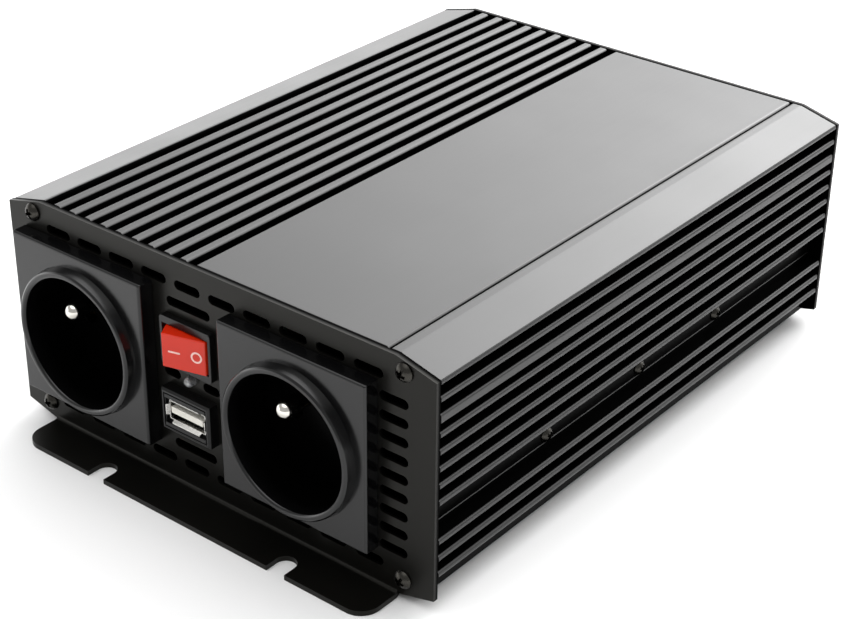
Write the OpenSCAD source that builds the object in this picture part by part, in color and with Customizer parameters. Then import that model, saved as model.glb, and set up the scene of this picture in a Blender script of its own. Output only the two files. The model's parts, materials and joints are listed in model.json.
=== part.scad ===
// Portable DC to AC power inverter: finned aluminium case, two mains sockets,
// rocker switch, USB outlet, rear fan and screw-down battery terminals.
// Millimetres. X is across the front, Y runs from the front to the back, Z is up.
// The origin is the middle of the underside of the whole object's box.

/* [Case] */
// Width of the case across the side fins
body_w = 150; // [148:1:156]
// Height of the case without the mounting flange under it
body_h = 69.3; // [68.5:0.1:72]
// Length from the outside of the front panel to the outside of the rear panel
body_l = 193.5; // [190:0.5:230]
// Thickness of the front and rear panel sheet
sheet_t = 1.5; // [1.2:0.1:1.8]
// Width of the sloping strip along each top corner
top_bevel_w = 12.4; // [11:0.1:13]
// Drop of the sloping strip along each top corner
top_bevel_h = 3.1; // [2.5:0.1:3.5]
// Width of the sloping strip along each bottom corner
low_bevel_w = 10.8; // [10:0.1:11.5]
// Rise of the sloping strip along each bottom corner
low_bevel_h = 2.8; // [2.4:0.1:3]

/* [Cooling fins] */
// Distance from one side fin to the next
fin_pitch = 4.9; // [4.8:0.05:5]
// Thickness of a side fin
fin_w = 1.9; // [1.8:0.1:2.2]
// Depth of the grooves between the side fins
fin_depth = 4.5; // [3.5:0.1:4.6]
// Lower edge of the wide channel in each side
channel_lo = 20.5; // [20.3:0.1:20.7]
// Upper edge of the wide channel in each side
channel_hi = 30.2; // [30:0.1:30.4]
// Distance from one top groove to the next
top_pitch = 6; // [5.8:0.1:6.1]
// Width of a top groove
top_groove_w = 3.1; // [2.4:0.1:3.2]
// Depth of a top groove
top_groove_depth = 2.8; // [2:0.1:3]
// Number of top grooves
top_groove_n = 10; // [6:1:10]

/* [Mounting flanges] */
// Reach of a flange out from its panel
flange_reach = 13; // [12:0.5:16]
// Width of a flange
flange_w = 126.8; // [120:0.2:127]
// Width of an open-ended mounting notch
notch_w = 6.2; // [5.2:0.1:6.6]
// Length of a mounting notch in from the edge
notch_l = 7; // [6:0.5:8]
// Distance between the two notches of a flange
notch_gap = 67; // [60:1:80]

/* [Mains sockets] */
// Sideways place of the left socket
left_x = -44.4; // [-44.6:0.1:-44]
// Sideways place of the right socket
right_x = 32.5; // [32:0.1:33]
// Height of the socket centres
socket_z = 35; // [34.8:0.1:35.2]
// How far a square plate's centre lies above its socket's centre
plate_rise = 0.9; // [0.6:0.1:1]
// Width and height of a socket's square plate
plate_w = 49.4; // [48.8:0.1:49.6]
// How far the square plate stands out of the panel
plate_t = 4.9; // [4:0.1:5.5]
// How far the round collar stands out of the plate
collar_t = 3.1; // [2.5:0.1:3.5]
// Radius of the plug recess
recess_r = 19.2; // [19:0.1:19.5]
// Depth of the plug recess from the collar's rim
recess_depth = 15; // [14.5:0.1:16]
// Radius of the earth pin
earth_r = 2.4; // [2.35:0.01:2.4]
// Radius of the holes for the plug's pins
plug_hole_r = 2.75; // [2.6:0.05:2.9]
// Distance between the two plug pin holes
plug_pitch = 19; // [18.8:0.1:19.2]

/* [Switch, lamp and USB outlet] */
// Sideways place of the column between the sockets
column_x = -6.8; // [-7:0.1:-6.6]
// Height of the switch's centre
switch_z = 45.3; // [45:0.1:45.4]
// Tilt of the rocker from level
rocker_tilt = 15.5; // [12:0.5:15.5]
// Height of the status lamp
lamp_z = 35; // [34.8:0.1:35.2]
// Height of the USB outlet's centre
usb_z = 24.7; // [24.5:0.1:24.9]

/* [Fan and battery terminals] */
// Width of the square fan
fan_w = 60; // [50:5:60]
// Thickness of the fan
fan_t = 15; // [12:1:15]
// Number of fan blades
fan_blades = 7; // [5:1:9]
// Sideways place of the fan
fan_x = -32; // [-32:0.5:-30]
// Sideways place of the positive terminal
red_x = 24; // [20:1:26]
// Sideways place of the negative terminal
black_x = 52; // [50:1:54]
// Radius of a terminal stud
stud_r = 4; // [3:0.5:4]

/* [Hidden] */
$fn = 64;

// A cut goes this far past a face so that it leaves no skin
cut = 1;
// Gap left between neighbouring pieces that don't move
gap = 0.1;

half_w = body_w / 2;
wall_x = half_w - fin_depth;
inner_x = wall_x - 2.5;
roof_z = body_h - top_groove_depth - 2;
floor_z = 3;
rear_y = body_l;
groove_w = fin_pitch - fin_w;
seam_z = channel_hi + 4 * fin_pitch + fin_w;
seam_gap = 2.2;
end_gap = 0.4;
top_groove_x = -60.5;
bend_r = 1.2;
case_y0 = sheet_t + end_gap;
case_l = body_l - 2 * case_y0;

terminal_reach = 29;
box_front = -flange_reach;
box_back = rear_y + terminal_reach;
box_mid = (box_front + box_back) / 2;

screw_x = 65.3;
screw_top_z = body_h - 3.7;
screw_low_z = 5.1;
board_z = 9.4;
board_t = 1.6;
board_top = board_z + board_t;

rim_y = -(plate_t + collar_t);
recess_floor_y = rim_y + recess_depth;
recess_floor_t = 2.5;
cup_r = recess_r + 2;
cup_back_y = 26;
earth_z = 10;
earth_root_r = 2.1;
terminal_z = body_h / 2;
fan_z = 33.7;

clamp_z = channel_lo + 3.7;
clamp_ys = [52.3, 96.3, 136.3];
transistor_offset = 11.5;

// Puts a shape that is drawn from the front panel's face and the case's underside in place
module placed() {
    translate([0, -box_mid, sheet_t])
        children();
}

// Extrudes an X-Z outline along Y from y0 over a length
module along_y(y0, length) {
    translate([0, y0 + length, 0])
        rotate([90, 0, 0])
            linear_extrude(length)
                children();
}

// Extrudes a Y-Z outline along X from x0 over a length
module along_x(x0, length) {
    translate([x0, 0, 0])
        rotate([90, 0, 90])
            linear_extrude(length)
                children();
}

// Round bar along Y, starting at y0
module rod_y(x, y0, z, r, length) {
    translate([x, y0, z])
        rotate([-90, 0, 0])
            cylinder(h = length, r = r);
}

// Round bar along X, starting at x0
module rod_x(x0, y, z, r, length) {
    translate([x0, y, z])
        rotate([0, 90, 0])
            cylinder(h = length, r = r);
}

// A body of revolution about an axis along Y; its outline is drawn as radius and distance
module turned_y(x, y0, z) {
    translate([x, y0, z])
        rotate([-90, 0, 0])
            rotate_extrude()
                children();
}

// Box centred on x and z, from y0 over a length
module block(x, y0, z, size_x, length, size_z) {
    translate([x - size_x / 2, y0, z - size_z / 2])
        cube([size_x, length, size_z]);
}

// Slot with round ends, centred
module slot_2d(w, h) {
    square([w - h, h], center = true);
    for (side = [-1, 1])
        translate([side * (w - h) / 2, 0])
            circle(h / 2);
}

// Rectangle with round corners, centred
module round_rect_2d(w, h, r) {
    square([w - 2 * r, h], center = true);
    square([w, h - 2 * r], center = true);
    for (sx = [-1, 1], sy = [-1, 1])
        translate([sx * (w / 2 - r), sy * (h / 2 - r)])
            circle(r);
}

// Points of a path with each corner replaced by a short curve
function rounded_path(points, reach = 0.35, steps = 3) = concat(
    [points[0]],
    [for (i = [1 : len(points) - 2], k = [0 : steps])
        let (a = points[i] + (points[i - 1] - points[i]) * reach)
        let (b = points[i] + (points[i + 1] - points[i]) * reach)
        let (t = k / steps)
        a * (1 - t) * (1 - t) + points[i] * 2 * t * (1 - t) + b * t * t],
    [points[len(points) - 1]]
);

// Eight-sided wire at one x, swept along Y-Z points
module wire(x, points, r) {
    sides = 8;
    path = rounded_path(points);
    last = len(path) - 1;
    rings = [for (i = [0 : last])
        let (ahead = path[min(i + 1, last)] - path[max(i - 1, 0)])
        let (along = ahead / norm(ahead))
        for (k = [0 : sides - 1])
            let (angle = k * 360 / sides)
            [
                x + r * cos(angle),
                path[i][0] - r * sin(angle) * along[1],
                path[i][1] + r * sin(angle) * along[0]
            ]];
    polyhedron(rings, concat(
        [[for (k = [0 : sides - 1]) sides - 1 - k]],
        [for (i = [0 : last - 1], k = [0 : sides - 1])
            let (next = (k + 1) % sides)
            [i * sides + next, (i + 1) * sides + next, (i + 1) * sides + k, i * sides + k]],
        [[for (k = [0 : sides - 1]) last * sides + k]]
    ));
}

// ---- Case ----

// Outline of the case and its panels
module case_outline() {
    polygon([
        [-half_w + low_bevel_w, 0], [half_w - low_bevel_w, 0],
        [half_w, low_bevel_h], [half_w, body_h - top_bevel_h],
        [half_w - top_bevel_w, body_h], [-half_w + top_bevel_w, body_h],
        [-half_w, body_h - top_bevel_h], [-half_w, low_bevel_h]
    ]);
}

// One groove cut into both sides, between two heights
module side_groove(z0, z1) {
    for (side = [-1, 1])
        translate([side * (half_w - fin_depth / 2 + cut / 2), (z0 + z1) / 2])
            square([fin_depth + cut, z1 - z0], center = true);
}

// Screw port for a self-tapping panel screw, open along the case's length
module screw_port(z) {
    for (side = [-1, 1])
        translate([side * screw_x, z])
            circle(3.4);
}

module screw_port_hole(z) {
    for (side = [-1, 1])
        translate([side * screw_x, z])
            circle(1.5);
}

module cover_profile() {
    cover_low = seam_z + seam_gap;
    groove_0 = cover_low + 2.9;
    intersection() {
        case_outline();
        difference() {
            union() {
                difference() {
                    translate([-half_w, cover_low])
                        square([body_w, body_h]);
                    translate([-inner_x, 0])
                        square([2 * inner_x, roof_z]);
                }
                screw_port(screw_top_z);
            }
            screw_port_hole(screw_top_z);
            side_groove(groove_0, groove_0 + groove_w);
            side_groove(groove_0 + fin_pitch, groove_0 + fin_pitch + groove_w);
            for (i = [0 : top_groove_n - 1])
                translate([top_groove_x + i * top_pitch, body_h])
                    square([top_groove_w, 2 * top_groove_depth], center = true);
            translate([59.4, body_h])
                square([1, 2], center = true);
            // Rebate that laps over the tray's tongue
            translate([-inner_x - 1.4, 0])
                square([2 * inner_x + 2.8, cover_low + 2]);
        }
    }
}

module top_cover() {
    color("dimgray")
        placed()
            along_y(case_y0, case_l)
                cover_profile();
}

module tray_profile() {
    difference() {
        union() {
            difference() {
                intersection() {
                    case_outline();
                    translate([-half_w, 0])
                        square([body_w, seam_z]);
                }
                translate([-inner_x, floor_z])
                    square([2 * inner_x, body_h]);
            }
            intersection() {
                case_outline();
                screw_port(screw_low_z);
            }
            for (side = [-1, 1]) {
                // Tongue along the top of the side wall
                translate([side * (inner_x + 0.6), seam_z + 1.4])
                    square([1.2, 5], center = true);
                // Slot that holds the circuit board's edge
                translate([side * (inner_x - 1.5), board_z - 1.1])
                    square([3.2, 2], center = true);
                translate([side * (inner_x - 1.5), board_top + 1.1])
                    square([3.2, 2], center = true);
            }
        }
        screw_port_hole(screw_low_z);
        side_groove(channel_lo, channel_hi);
        for (i = [0 : 1])
            side_groove(channel_lo - fin_w - i * fin_pitch - groove_w, channel_lo - fin_w - i * fin_pitch);
        // Open step under the lowest fin
        side_groove(-cut, channel_lo - fin_w - 2 * fin_pitch);
        for (i = [0 : 3])
            side_groove(channel_hi + fin_w + i * fin_pitch, channel_hi + (i + 1) * fin_pitch);
        // Shallow grooves along the underside
        for (i = [-4 : 4])
            translate([i * 12, 0])
                square([3, 1.6], center = true);
    }
}

module bottom_tray() {
    color("dimgray")
        placed()
            difference() {
                along_y(case_y0, case_l)
                    tray_profile();
                for (side = [-1, 1], y = clamp_ys)
                    rod_x(side * (half_w - 4) - 6, y, clamp_z, 1.6, 12);
            }
}

// Flange bent out of a panel's lower edge; it reaches towards -Y
module flange() {
    corner_r = 6;
    difference() {
        union() {
            along_x(-flange_w / 2, flange_w)
                intersection() {
                    translate([-bend_r, bend_r])
                        difference() {
                            circle(bend_r + sheet_t);
                            circle(bend_r);
                        }
                    translate([-bend_r, bend_r - 10])
                        square([10, 10]);
                }
            translate([0, 0, -sheet_t])
                linear_extrude(sheet_t)
                    difference() {
                        union() {
                            translate([-flange_w / 2, -flange_reach + corner_r])
                                square([flange_w, flange_reach - corner_r - bend_r]);
                            translate([-flange_w / 2 + corner_r, -flange_reach])
                                square([flange_w - 2 * corner_r, corner_r]);
                            for (side = [-1, 1])
                                translate([side * (flange_w / 2 - corner_r), -flange_reach + corner_r])
                                    circle(corner_r);
                        }
                        for (side = [-1, 1])
                            translate([side * notch_gap / 2, -flange_reach]) {
                                square([notch_w, 2 * (notch_l - notch_w / 2)], center = true);
                                translate([0, notch_l - notch_w / 2])
                                    circle(notch_w / 2);
                            }
                    }
        }
    }
}

// Outline of a panel above its bend
module panel_outline() {
    difference() {
        case_outline();
        translate([-flange_w / 2, -cut])
            square([flange_w, cut + bend_r]);
    }
}

module panel_screw_holes() {
    for (side = [-1, 1], z = [screw_low_z, screw_top_z])
        translate([side * screw_x, z])
            circle(2);
}

vent_w = 9.2;
vent_h = 2.8;
vent_pitch = 12.2;

module front_panel_outline() {
    difference() {
        panel_outline();
        panel_screw_holes();
        for (x = [left_x, right_x])
            translate([x, socket_z])
                circle(cup_r + 0.2);
        translate([column_x, switch_z])
            square([17.8, 13], center = true);
        translate([column_x, lamp_z])
            circle(1.6);
        translate([column_x, usb_z])
            square([15.4, 10.4], center = true);
        // Vent slots along the top and the bottom, and beside the right socket
        for (i = [0 : 9], z = [7.2, 62.3])
            translate([-55.6 + i * vent_pitch, z])
                slot_2d(vent_w, vent_h);
        for (i = [0 : 8])
            translate([62, 13 + i * 5.45])
                slot_2d(vent_w, vent_h);
        // Vent slots of the middle column
        for (z = [12.8, 56.6])
            translate([column_x, z])
                slot_2d(15.6, vent_h);
        for (side = [-1, 1])
            translate([column_x + side * 7.1, lamp_z - 0.3])
                slot_2d(6, vent_h);
    }
}

module front_panel() {
    color([0.24, 0.24, 0.23])
        placed() {
            along_y(0, sheet_t)
                front_panel_outline();
            flange();
        }
}

// Ring-shaped vent slots, interrupted by four spokes
module fan_vents_2d() {
    for (i = [0 : 4])
        difference() {
            circle(7.2 + i * 4.6 + 1.5);
            circle(7.2 + i * 4.6 - 1.5);
            for (angle = [45, 135])
                rotate(angle)
                    square([80, 2.6], center = true);
        }
    circle(2.4);
}

fan_screw_gap = fan_w - 10;

module rear_panel_outline() {
    difference() {
        panel_outline();
        panel_screw_holes();
        translate([fan_x, fan_z]) {
            fan_vents_2d();
            for (sx = [-1, 1], sz = [-1, 1])
                translate([sx * fan_screw_gap / 2, sz * fan_screw_gap / 2])
                    circle(2.2);
        }
        for (x = [red_x, black_x])
            translate([x, terminal_z])
                circle(7.2);
        translate([(red_x + black_x) / 2, 12])
            circle(2.1);
    }
}

module rear_panel() {
    color([0.24, 0.24, 0.23])
        placed()
            translate([0, rear_y, 0])
                mirror([0, 1, 0]) {
                    along_y(0, sheet_t)
                        rear_panel_outline();
                    flange();
                }
}

// Cross-recessed pan head screw along +Y, with the underside of its head at the origin
module pan_screw(head_r, head_h, shank_r, shank_l) {
    difference() {
        union() {
            turned_y(0, -head_h, 0)
                intersection() {
                    translate([0, head_r * 1.15])
                        circle(head_r * 1.15);
                    square([head_r, head_h]);
                }
            rod_y(0, 0, 0, shank_r, shank_l);
        }
        for (angle = [0, 90])
            rotate([0, angle, 0])
                block(0, -head_h - cut, 0, head_r * 1.05, cut + head_h * 0.62, 0.9);
    }
}

module corner_screws() {
    for (side = [-1, 1], z = [screw_low_z, screw_top_z])
        translate([side * screw_x, 0, z])
            rotate([0, side * 24, 0])
                pan_screw(2.6, 1.9, 1.45, 11);
}

module front_panel_screws() {
    color("silver")
        placed()
            corner_screws();
}

module rear_panel_screws() {
    color("silver")
        placed()
            translate([0, rear_y, 0])
                mirror([0, 1, 0])
                    corner_screws();
}

// ---- Mains sockets ----

// Square plate, round collar and plug cup, in one moulding
module socket_housing(x) {
    edge = 0.5;
    half = plate_w / 2;
    translate([x, 0, socket_z])
        difference() {
            union() {
                // Plate with bevelled front edges
                translate([0, 0, plate_rise])
                    intersection() {
                        along_x(-half, plate_w)
                            polygon([
                                [0, -half], [-plate_t + edge, -half], [-plate_t, -half + edge],
                                [-plate_t, half - edge], [-plate_t + edge, half], [0, half]
                            ]);
                        translate([0, 0, -half])
                            linear_extrude(plate_w)
                                polygon([
                                    [-half, 0], [-half, -plate_t + edge], [-half + edge, -plate_t],
                                    [half - edge, -plate_t], [half, -plate_t + edge], [half, 0]
                                ]);
                    }
                turned_y(0, 0, 0)
                    polygon([
                        [recess_r - 1, -plate_t + cut], [recess_r - 1, rim_y],
                        [cup_r - 0.5, rim_y], [cup_r, rim_y + 0.5],
                        [cup_r + 0.7, -plate_t + cut]
                    ]);
                rod_y(0, -cut, 0, cup_r, cup_back_y + cut);
            }
            rod_y(0, rim_y - cut, 0, recess_r, recess_depth + cut);
            turned_y(0, 0, 0)
                polygon([
                    [0, rim_y - cut], [recess_r + 1.6, rim_y - cut],
                    [recess_r, rim_y + 0.6], [0, rim_y + 0.6]
                ]);
            // Chamber for the contacts, open at the back
            rod_y(0, recess_floor_y + recess_floor_t, 0, recess_r, cup_back_y);
            for (side = [-1, 1])
                rod_y(side * plug_pitch / 2, 0, 0, plug_hole_r, 20);
            rod_y(0, 0, earth_z, earth_root_r + 0.02, 20);
        }
}

// Disc that closes the contact chamber, with a cable hole
module socket_back(x) {
    translate([x, 0, socket_z])
        difference() {
            rod_y(0, cup_back_y, 0, cup_r, 2);
            for (offset_x = [-8, 0, 8])
                rod_y(offset_x, cup_back_y - cut, -12, 1.9, 4);
        }
}

// Earth pin with a domed tip and a collar behind the recess floor
module earth_pin(x) {
    tip_y = rim_y - 0.6;
    shaft_y1 = recess_floor_y - gap;
    translate([x, 0, socket_z + earth_z]) {
        rod_y(0, tip_y + earth_r, 0, earth_r, shaft_y1 - tip_y - earth_r);
        rod_y(0, shaft_y1 - cut, 0, earth_root_r, 23 - shaft_y1 + cut);
        translate([0, tip_y + earth_r, 0])
            sphere(earth_r);
        difference() {
            rod_y(0, recess_floor_y + recess_floor_t + gap, 0, 3.6, 2.5);
            rod_y(0, 0, 0, earth_root_r - 0.2, 30);
        }
    }
}

// Pair of spring contacts behind each plug hole
module socket_contacts(x) {
    contact_y = recess_floor_y + recess_floor_t + gap;
    translate([x, 0, socket_z])
        for (side = [-1, 1])
            translate([side * plug_pitch / 2, 0, 0]) {
                for (leaf = [-1, 1])
                    block(leaf * 3.3, contact_y, 0, 0.8, 11, 6);
                block(0, contact_y + 11, 0, 7.4, 1, 6);
                block(0, contact_y + 11, -6, 5, 3, 6.4);
            }
}

// Spring ring that grips the cup behind the panel
module retaining_ring(x) {
    turned_y(x, 0, socket_z)
        polygon([
            [cup_r + 0.05, sheet_t], [cup_r + 2, sheet_t],
            [cup_r + 2, sheet_t + 1.4], [cup_r + 0.05, sheet_t + 1.4]
        ]);
}

module left_socket_housing() {
    color([0.2, 0.2, 0.21])
        placed()
            socket_housing(left_x);
}

module right_socket_housing() {
    color([0.2, 0.2, 0.21])
        placed()
            socket_housing(right_x);
}

module left_socket_back() {
    color("black")
        placed()
            socket_back(left_x);
}

module right_socket_back() {
    color("black")
        placed()
            socket_back(right_x);
}

module left_earth_pin() {
    color("silver")
        placed()
            earth_pin(left_x);
}

module right_earth_pin() {
    color("silver")
        placed()
            earth_pin(right_x);
}

module left_socket_contacts() {
    color("gold")
        placed()
            socket_contacts(left_x);
}

module right_socket_contacts() {
    color("gold")
        placed()
            socket_contacts(right_x);
}

module left_retaining_ring() {
    color("silver")
        placed()
            retaining_ring(left_x);
}

module right_retaining_ring() {
    color("silver")
        placed()
            retaining_ring(right_x);
}

// ---- Switch ----

switch_w = 18.4;
switch_h = 14.8;
switch_rim = 1.9;
rocker_w = 10;
rocker_half = 6.45;
rocker_top = 6.4;
pivot_y = 2.05;
pivot_r = 1.2;

module switch_body() {
    color([0.13, 0.13, 0.13])
        placed()
            translate([column_x, 0, switch_z])
                difference() {
                    union() {
                        along_y(-switch_rim, switch_rim)
                            round_rect_2d(switch_w, switch_h, 1);
                        block(0, 0, 0, 17.6, 15, 12.8);
                    }
                    // Well for the rocker
                    block(0, -switch_rim - cut, 0, 16.5, cut + switch_rim + 9, rocker_w + 0.5);
                    translate([0, pivot_y, 0])
                        cylinder(h = rocker_w + 1.5, r = pivot_r + 0.05, center = true);
                    for (offset_x = [-5.5, 0, 5.5])
                        block(offset_x, 12, 0, 1, 4, 4.9);
                }
}

// Rocker with a flat face, tipped so that its right end is pressed in
module switch_rocker() {
    color([0.86, 0.2, 0.13])
        placed()
            translate([column_x, pivot_y, switch_z])
                rotate([0, 0, rocker_tilt]) {
                    translate([0, 0, -rocker_w / 2])
                        linear_extrude(rocker_w)
                            polygon([
                                [-rocker_half, -rocker_top], [rocker_half, -rocker_top],
                                [7.6, -2], [7.7, 1.5], [3, 2.6], [-3, 2.6], [-7.7, 1.5], [-7.6, -2]
                            ]);
                    cylinder(h = rocker_w + 1.2, r = pivot_r, center = true);
                }
}

module switch_terminals() {
    color("silver")
        placed()
            translate([column_x, 0, switch_z])
                for (offset_x = [-5.5, 0, 5.5])
                    block(offset_x, 12.2, 0, 0.8, 11, 4.7);
}

// ---- Status lamp ----

module status_lamp() {
    color("lightgray")
        placed()
            translate([column_x, 0, lamp_z]) {
                rod_y(0, -1, 0, 1.5, 4);
                translate([0, -1, 0])
                    sphere(1.5);
                rod_y(0, sheet_t + gap, 0, 2, 1.4);
            }
}

module lamp_leads() {
    color("silver")
        placed()
            for (side = [-1, 1])
                rod_y(column_x + side * 0.6, 3, lamp_z, 0.25, 9);
}

// ---- USB outlet ----

usb_w = 17.8;
usb_h = 12.8;
usb_rim = 3.4;
usb_y = -usb_rim;
shell_w = 13.4;
shell_h = 6.2;
lip_w = 14.6;
lip_h = 7.4;

module usb_bezel() {
    edge = 0.6;
    color([0.13, 0.13, 0.13])
        placed()
            translate([column_x, 0, usb_z])
                difference() {
                    union() {
                        intersection() {
                            along_x(-usb_w / 2, usb_w)
                                polygon([
                                    [0, -usb_h / 2], [usb_y + edge, -usb_h / 2], [usb_y, -usb_h / 2 + edge],
                                    [usb_y, usb_h / 2 - edge], [usb_y + edge, usb_h / 2], [0, usb_h / 2]
                                ]);
                            translate([0, 0, -usb_h / 2])
                                linear_extrude(usb_h)
                                    polygon([
                                        [-usb_w / 2, 0], [-usb_w / 2, usb_y + edge],
                                        [-usb_w / 2 + edge, usb_y], [usb_w / 2 - edge, usb_y],
                                        [usb_w / 2, usb_y + edge], [usb_w / 2, 0]
                                    ]);
                        }
                        block(0, -cut, 0, 15.2, 9 + cut, 10.2);
                    }
                    block(0, usb_y - cut, 0, lip_w + 0.3, cut + 1.1, lip_h + 0.3);
                    block(0, usb_y - cut, 0, shell_w + 0.2, 20, shell_h + 0.2);
                    // Fine line around the front face
                    along_y(usb_y - cut, cut + 0.4)
                        difference() {
                            square([usb_w - 2.2, usb_h - 2.2], center = true);
                            square([usb_w - 2.9, usb_h - 2.9], center = true);
                        }
                }
}

// Folded steel shell with a flared mouth
module usb_shell() {
    wall = 0.35;
    color("silver")
        placed()
            translate([column_x, 0, usb_z])
                difference() {
                    union() {
                        block(0, usb_y + 0.1, 0, lip_w, 0.6, lip_h);
                        block(0, usb_y + 0.1, 0, shell_w, 13.5, shell_h);
                    }
                    block(0, usb_y - cut, 0, shell_w - 2 * wall, 12.5 + cut, shell_h - 2 * wall);
                }
}

// Contact tongue with four flat contacts
module usb_tongue() {
    color("white")
        placed()
            translate([column_x, 0, usb_z]) {
                block(0, usb_y + 0.8, 0.2, 11.6, 8.1, 1.9);
                block(0, usb_y + 8.9, 0, 12.5, 0.6, 5.3);
                for (i = [-1.5, -0.5, 0.5, 1.5])
                    block(i * 2.3, usb_y + 1.4, -0.85, 1.1, 7.4, 0.2);
            }
}

module usb_board() {
    color("darkgreen")
        placed() {
            block(column_x, 10.4, usb_z - 3.9, 22, 16, 1.4);
            block(column_x, 14, usb_z - 1.9, 9, 7, 2.4);
        }
}

// ---- Fan ----

fan_y = rear_y - sheet_t - fan_t;
hub_r = 12.5;
rotor_r = 27.6;
duct_r = 28.4;

module fan_frame() {
    color([0.1, 0.1, 0.1])
        placed()
            translate([fan_x, fan_y, fan_z])
                difference() {
                    union() {
                        difference() {
                            along_y(0, fan_t)
                                round_rect_2d(fan_w, fan_w, 3.5);
                            rod_y(0, -cut, 0, duct_r, fan_t + 2 * cut);
                        }
                        // Motor seat and its struts, on the inner side
                        rod_y(0, 0, 0, 13, 1.6);
                        for (angle = [30, 150, 270])
                            rotate([0, angle, 0])
                                translate([0, 0, -1.6])
                                    cube([duct_r + 0.4, 1.6, 3.2]);
                        rod_y(0, 1.6, 0, 3.2, 7);
                    }
                    rod_y(0, 0.8, 0, 1.05, 20);
                    for (sx = [-1, 1], sz = [-1, 1])
                        rod_y(sx * fan_screw_gap / 2, -cut, sz * fan_screw_gap / 2, 2.2, fan_t + 2 * cut);
                }
}

// Hub, shaft and blades; the blades are slanted plates that follow the hub
module fan_rotor() {
    blade_y0 = 3.2;
    blade_y1 = fan_t - 2;
    color([0.15, 0.15, 0.15])
        placed()
            translate([fan_x, fan_y, fan_z]) {
                difference() {
                    rod_y(0, 2.6, 0, hub_r, fan_t - 4.2);
                    rod_y(0, 0, 0, hub_r - 1.6, fan_t - 3.2);
                }
                rod_y(0, 2, 0, 1, fan_t - 4);
                intersection() {
                    for (i = [0 : fan_blades - 1])
                        rotate([0, i * 360 / fan_blades, 0])
                            translate([hub_r - 0.5, (blade_y0 + blade_y1) / 2, 0])
                                rotate([42, 0, 0])
                                    translate([0, -7.5, -0.6])
                                        cube([rotor_r, 15, 1.2]);
                    difference() {
                        rod_y(0, blade_y0, 0, rotor_r, blade_y1 - blade_y0);
                        rod_y(0, 0, 0, hub_r - 0.8, fan_t);
                    }
                }
            }
}

module fan_screws() {
    color("silver")
        placed()
            for (sx = [-1, 1], sz = [-1, 1])
                translate([fan_x + sx * fan_screw_gap / 2, rear_y, fan_z + sz * fan_screw_gap / 2])
                    mirror([0, 1, 0])
                        rotate([0, sx * 20, 0])
                            pan_screw(3.3, 2.4, 1.9, fan_t + sheet_t + 1);
}

// ---- Battery terminals ----

washer_y = rear_y + 7;
washer_t = 1.5;
knob_y = washer_y + washer_t;
knob_l = 15;
knob_r = 9.5;

// Insulating bush with a flange outside the panel, and its clamping collar inside
module terminal_base(x) {
    turned_y(x, rear_y, terminal_z) {
        polygon([
            [stud_r + 0.02, -sheet_t], [7, -sheet_t], [7, 0], [12, 0], [12, 4.5], [10, 7], [stud_r + 0.02, 7]
        ]);
        polygon([[stud_r + 0.02, -8], [11, -8], [11, -sheet_t - gap], [stud_r + 0.02, -sheet_t - gap]]);
    }
}

// Stud with turned thread rings at its inner end
module terminal_stud(x) {
    thread_y0 = -18;
    thread_n = 19;
    turned_y(x, rear_y, terminal_z)
        polygon(concat(
            [[0, thread_y0]],
            [[stud_r - 0.6, thread_y0]],
            [for (i = [0 : thread_n - 1], k = [0, 1])
                [stud_r - 0.5 + k * 0.4, thread_y0 + 0.4 + i * 0.5 + k * 0.25]],
            [[stud_r - 0.1, -8 - gap], [stud_r, -8], [stud_r, terminal_reach - 1]],
            [[stud_r - 1, terminal_reach]],
            [[0, terminal_reach]]
        ));
}

// Hexagon nut that holds the battery lead's lug inside the case
module inner_nut(x) {
    difference() {
        translate([x, rear_y - 14.5, terminal_z])
            rotate([-90, 0, 0])
                cylinder(h = 5, r = 7.4, $fn = 6);
        rod_y(x, rear_y - 16, terminal_z, stud_r, 9);
    }
}

module terminal_nuts() {
    color("gold")
        placed()
            for (x = [red_x, black_x])
                inner_nut(x);
}

module terminal_washer(x) {
    turned_y(x, washer_y, terminal_z)
        polygon([[stud_r + 0.08, 0], [8.5, 0], [8.5, washer_t], [stud_r + 0.08, washer_t]]);
}

// Knob with finger flutes
module terminal_knob(x) {
    flutes = 12;
    translate([x, knob_y, terminal_z])
        difference() {
            turned_y(0, 0, 0)
                polygon([
                    [stud_r + 0.05, 0.02], [7.5, 0.02], [7.5, 1], [knob_r, 1.8], [knob_r, knob_l - 3],
                    [knob_r - 1.5, knob_l - 1.2], [6.2, knob_l], [stud_r + 0.05, knob_l]
                ]);
            for (i = [0 : flutes - 1])
                rotate([0, i * 360 / flutes, 0])
                    rod_y(knob_r + 0.9, 0.5, 0, 1.7, knob_l);
        }
}

module red_terminal_base() {
    color([0.7, 0.05, 0.05])
        placed()
            terminal_base(red_x);
}

module black_terminal_base() {
    color([0.08, 0.08, 0.08])
        placed()
            terminal_base(black_x);
}

module red_terminal_stud() {
    color("gold")
        placed()
            terminal_stud(red_x);
}

module black_terminal_stud() {
    color("gold")
        placed()
            terminal_stud(black_x);
}

module red_washer() {
    color("gold")
        placed()
            terminal_washer(red_x);
}

module black_washer() {
    color("gold")
        placed()
            terminal_washer(black_x);
}

module red_knob() {
    color([0.7, 0.05, 0.05])
        placed()
            terminal_knob(red_x);
}

module black_knob() {
    color([0.08, 0.08, 0.08])
        placed()
            terminal_knob(black_x);
}

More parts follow.
